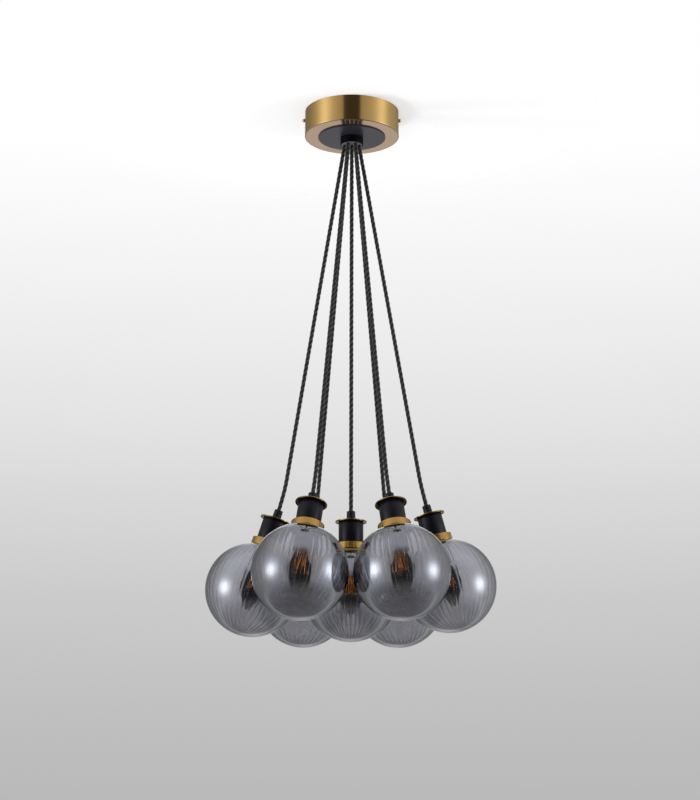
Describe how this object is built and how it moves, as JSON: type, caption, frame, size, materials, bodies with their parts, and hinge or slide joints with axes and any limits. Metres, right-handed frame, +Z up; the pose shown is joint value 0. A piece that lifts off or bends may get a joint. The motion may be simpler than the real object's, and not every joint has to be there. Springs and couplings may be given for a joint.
{
  "type": "cluster pendant",
  "caption": "Cluster pendant: ribbed smoked glass globes with candle bulbs, hung on black cords from a round brass ceiling canopy.",
  "frame": {"origin": "centre of the ceiling plane, on the top face of the bracket", "axes": "+Z up into the ceiling, -Y towards the front pair of globes, +X to the right as seen from the front"},
  "size_m": [0.4612, 0.4194, 0.8916],
  "materials": {
    "canopy_brass": "brushed satin",
    "trim_brass": "satin",
    "black_metal": "satin black",
    "zinc_steel": "zinc plated",
    "pale_nylon": "matt",
    "cord_fabric": "twisted textile braid",
    "black_plastic": "satin black",
    "smoked_glass": "smoked, half mirrored, ribbed inside",
    "bulb_glass": "clear"
  },
  "bodies": {
    "canopy": {"ceiling_bracket": "zinc_steel", "canopy_cup": "canopy_brass", "canopy_screws": "trim_brass", "cover_disc": "black_metal", "outlet_collar": "black_metal", "cord_bush": "pale_nylon", "hub_nut": "zinc_steel", "cord_clamp": "pale_nylon", "cord_tails": "cord_fabric", "terminal_block": "pale_nylon", "block_post": "zinc_steel", "cord_centre": "cord_fabric", "gland_centre": "black_plastic"},
    "light_centre": {"flange_centre": "trim_brass", "lampholder_centre": "black_plastic", "ring_centre": "trim_brass", "globe_centre": "smoked_glass"},
    "lamp_centre": {"bulb_centre": "bulb_glass"},
    "hanging_front_left": {"cord_front_left": "cord_fabric", "gland_front_left": "black_plastic"},
    "light_front_left": {"flange_front_left": "trim_brass", "lampholder_front_left": "black_plastic", "ring_front_left": "trim_brass", "globe_front_left": "smoked_glass"},
    "lamp_front_left": {"bulb_front_left": "bulb_glass"},
    "hanging_front_right": {"cord_front_right": "cord_fabric", "gland_front_right": "black_plastic"},
    "light_front_right": {"flange_front_right": "trim_brass", "lampholder_front_right": "black_plastic", "ring_front_right": "trim_brass", "globe_front_right": "smoked_glass"},
    "lamp_front_right": {"bulb_front_right": "bulb_glass"},
    "hanging_left": {"cord_left": "cord_fabric", "gland_left": "black_plastic"},
    "light_left": {"flange_left": "trim_brass", "lampholder_left": "black_plastic", "ring_left": "trim_brass", "globe_left": "smoked_glass"},
    "lamp_left": {"bulb_left": "bulb_glass"},
    "hanging_right": {"cord_right": "cord_fabric", "gland_right": "black_plastic"},
    "light_right": {"flange_right": "trim_brass", "lampholder_right": "black_plastic", "ring_right": "trim_brass", "globe_right": "smoked_glass"},
    "lamp_right": {"bulb_right": "bulb_glass"},
    "hanging_back_left": {"cord_back_left": "cord_fabric", "gland_back_left": "black_plastic"},
    "light_back_left": {"flange_back_left": "trim_brass", "lampholder_back_left": "black_plastic", "ring_back_left": "trim_brass", "globe_back_left": "smoked_glass"},
    "lamp_back_left": {"bulb_back_left": "bulb_glass"},
    "hanging_back_right": {"cord_back_right": "cord_fabric", "gland_back_right": "black_plastic"},
    "light_back_right": {"flange_back_right": "trim_brass", "lampholder_back_right": "black_plastic", "ring_back_right": "trim_brass", "globe_back_right": "smoked_glass"},
    "lamp_back_right": {"bulb_back_right": "bulb_glass"}
  },
  "joints": [
    {"name": "turn_centre", "type": "hinge", "parent": "canopy", "child": "light_centre", "pos_m": [0, 0, -0.69854], "axis": [0, 0, 1], "range_deg": [-90, 90], "stiffness_Nm_per_rad": 0.005},
    {"name": "unscrew_centre", "type": "hinge", "parent": "light_centre", "child": "lamp_centre", "pos_m": [0, 0, -0.7806], "axis": [0, 0, -1], "range_deg": [0, 360]},
    {"name": "swing_front_left", "type": "hinge", "parent": "canopy", "child": "hanging_front_left", "pos_m": [-0.006, -0.01039, -0.0585], "axis": [-0.866, 0.5, 0], "range_deg": [0, 30]},
    {"name": "turn_front_left", "type": "hinge", "parent": "hanging_front_left", "child": "light_front_left", "pos_m": [-0.06153, -0.10657, -0.69181], "axis": [0.1378, 0.2387, 0.9613], "range_deg": [-90, 90], "stiffness_Nm_per_rad": 0.005},
    {"name": "unscrew_front_left", "type": "hinge", "parent": "light_front_left", "child": "lamp_front_left", "pos_m": [-0.07284, -0.12616, -0.7707], "axis": [-0.1378, -0.2387, -0.9613], "range_deg": [0, 360]},
    {"name": "swing_front_right", "type": "hinge", "parent": "canopy", "child": "hanging_front_right", "pos_m": [0.006, -0.01039, -0.0585], "axis": [-0.866, -0.5, 0], "range_deg": [0, 30]},
    {"name": "turn_front_right", "type": "hinge", "parent": "hanging_front_right", "child": "light_front_right", "pos_m": [0.06153, -0.10657, -0.69181], "axis": [-0.1378, 0.2387, 0.9613], "range_deg": [-90, 90], "stiffness_Nm_per_rad": 0.005},
    {"name": "unscrew_front_right", "type": "hinge", "parent": "light_front_right", "child": "lamp_front_right", "pos_m": [0.07284, -0.12616, -0.7707], "axis": [0.1378, -0.2387, -0.9613], "range_deg": [0, 360]},
    {"name": "swing_left", "type": "hinge", "parent": "canopy", "child": "hanging_left", "pos_m": [-0.012, 0, -0.0585], "axis": [0, 1, 0], "range_deg": [0, 30]},
    {"name": "turn_left", "type": "hinge", "parent": "hanging_left", "child": "light_left", "pos_m": [-0.1199, 0, -0.69646], "axis": [0.3024, 0, 0.9532], "range_deg": [-90, 90], "stiffness_Nm_per_rad": 0.005},
    {"name": "unscrew_left", "type": "hinge", "parent": "light_left", "child": "lamp_left", "pos_m": [-0.14472, 0, -0.77468], "axis": [-0.3024, 0, -0.9532], "range_deg": [0, 360]},
    {"name": "swing_right", "type": "hinge", "parent": "canopy", "child": "hanging_right", "pos_m": [0.012, 0, -0.0585], "axis": [0, -1, 0], "range_deg": [0, 30]},
    {"name": "turn_right", "type": "hinge", "parent": "hanging_right", "child": "light_right", "pos_m": [0.12425, 0, -0.68818], "axis": [-0.2656, 0, 0.9641], "range_deg": [-90, 90], "stiffness_Nm_per_rad": 0.005},
    {"name": "unscrew_right", "type": "hinge", "parent": "light_right", "child": "lamp_right", "pos_m": [0.14604, 0, -0.76729], "axis": [0.2656, 0, -0.9641], "range_deg": [0, 360]},
    {"name": "swing_back_left", "type": "hinge", "parent": "canopy", "child": "hanging_back_left", "pos_m": [-0.006, 0.01039, -0.0585], "axis": [0.866, 0.5, 0], "range_deg": [0, 30]},
    {"name": "turn_back_left", "type": "hinge", "parent": "hanging_back_left", "child": "light_back_left", "pos_m": [-0.06153, 0.10657, -0.69181], "axis": [0.1378, -0.2387, 0.9613], "range_deg": [-90, 90], "stiffness_Nm_per_rad": 0.005},
    {"name": "unscrew_back_left", "type": "hinge", "parent": "light_back_left", "child": "lamp_back_left", "pos_m": [-0.07284, 0.12616, -0.7707], "axis": [-0.1378, 0.2387, -0.9613], "range_deg": [0, 360]},
    {"name": "swing_back_right", "type": "hinge", "parent": "canopy", "child": "hanging_back_right", "pos_m": [0.006, 0.01039, -0.0585], "axis": [0.866, -0.5, 0], "range_deg": [0, 30]},
    {"name": "turn_back_right", "type": "hinge", "parent": "hanging_back_right", "child": "light_back_right", "pos_m": [0.06153, 0.10657, -0.69181], "axis": [-0.1378, -0.2387, 0.9613], "range_deg": [-90, 90], "stiffness_Nm_per_rad": 0.005},
    {"name": "unscrew_back_right", "type": "hinge", "parent": "light_back_right", "child": "lamp_back_right", "pos_m": [0.07284, 0.12616, -0.7707], "axis": [0.1378, 0.2387, -0.9613], "range_deg": [0, 360]}
  ]
}
